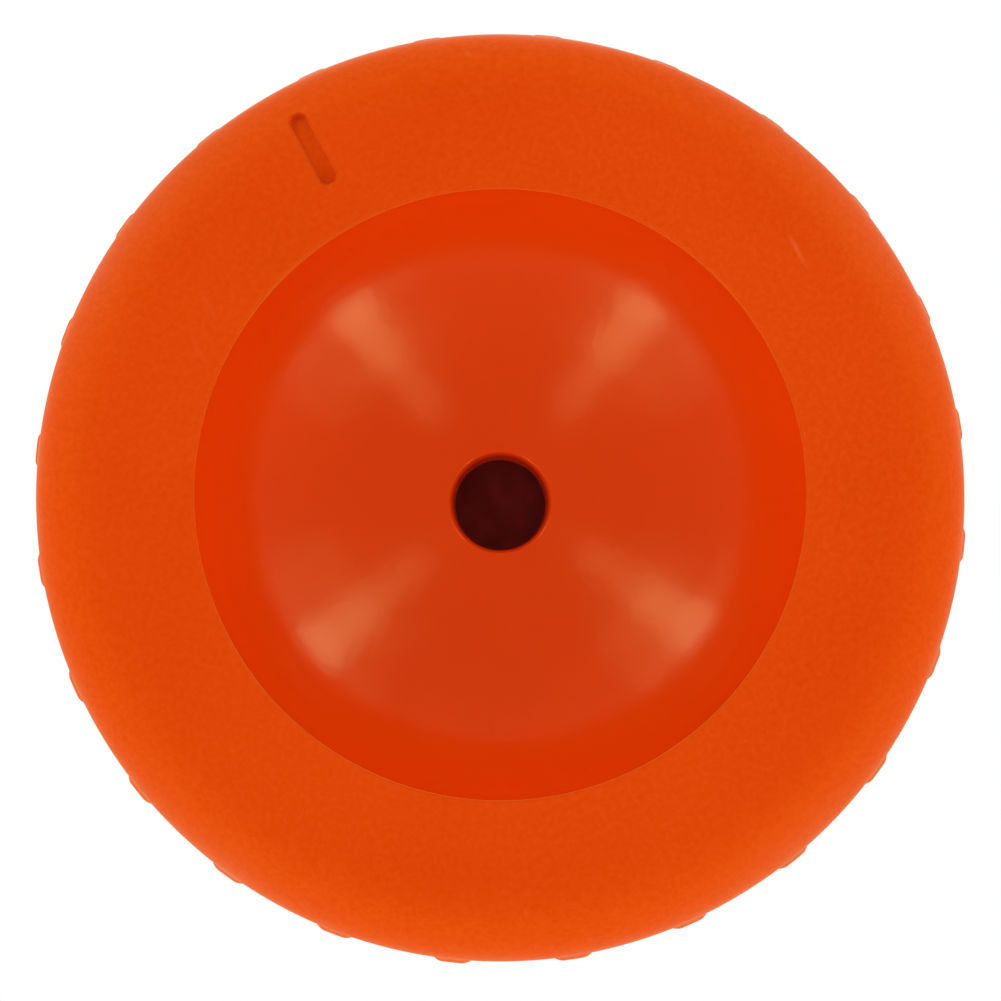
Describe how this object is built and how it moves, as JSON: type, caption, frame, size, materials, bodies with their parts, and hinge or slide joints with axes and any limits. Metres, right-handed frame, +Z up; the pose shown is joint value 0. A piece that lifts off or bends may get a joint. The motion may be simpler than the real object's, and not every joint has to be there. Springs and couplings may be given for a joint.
{
  "type": "dust blower bulb",
  "caption": "Self-standing squeeze blower: soft ribbed bulb on a flat foot, dished base with an intake hole and valve, push-in tapered nozzle at the top.",
  "frame": {"origin": "centre of the standing ring, on the plane that the blower rests on", "axes": "+Z up along the bulb and nozzle axis, towards the nozzle tip; the index slot in the foot points along -Y"},
  "size_m": [0.0604, 0.0604, 0.1364],
  "materials": {
    "soft_orange": "matte orange soft elastomer with a very fine moulded grain",
    "cup_orange": "smooth semi-gloss orange plastic with faint turned mould lines",
    "valve_orange": "satin dark orange plastic",
    "disc_rubber": "dark red-brown soft rubber",
    "black_plastic": "black moulded plastic, fine satin texture",
    "nozzle_plastic": "black moulded plastic, semi-gloss",
    "seal_rubber": "black rubber ring",
    "ball_steel": "polished steel ball",
    "tip_brass": "drawn brass tube, fine drawing lines"
  },
  "bodies": {
    "base": {"bulb_body": "soft_orange", "base_cup": "cup_orange", "intake_valve_seat": "valve_orange", "intake_valve_cage": "black_plastic"},
    "intake_disc": {"intake_valve_disc": "disc_rubber"},
    "head": {"neck_socket": "black_plastic", "neck_collar": "black_plastic", "outlet_valve_stop": "black_plastic"},
    "outlet_ball": {"outlet_valve_ball": "ball_steel"},
    "nozzle_plug": {"nozzle_seal": "seal_rubber"},
    "nozzle": {"nozzle_body": "nozzle_plastic", "nozzle_tip": "tip_brass"}
  },
  "joints": [
    {"name": "intake_lift", "type": "slide", "parent": "base", "child": "intake_disc", "axis": [0, 0, 1], "range_m": [0, 0.0012]},
    {"name": "squeeze", "type": "slide", "parent": "base", "child": "head", "axis": [0, 0, -1], "range_m": [0, 0.015], "stiffness_N_per_m": 700, "deforming": ["bulb_body"]},
    {"name": "outlet_lift", "type": "slide", "parent": "head", "child": "outlet_ball", "axis": [0, 0, 1], "range_m": [0, 0.0015]},
    {"name": "nozzle_pull", "type": "slide", "parent": "head", "child": "nozzle_plug", "axis": [0, 0, 1], "range_m": [0, 0.014]},
    {"name": "nozzle_turn", "type": "hinge", "parent": "nozzle_plug", "child": "nozzle", "pos_m": [0, 0, 0.08], "axis": [0, 0, 1], "continuous": true}
  ],
  "couplings": [
    {"joint": "outlet_lift", "follows": "squeeze", "ratio": 0.1}
  ]
}
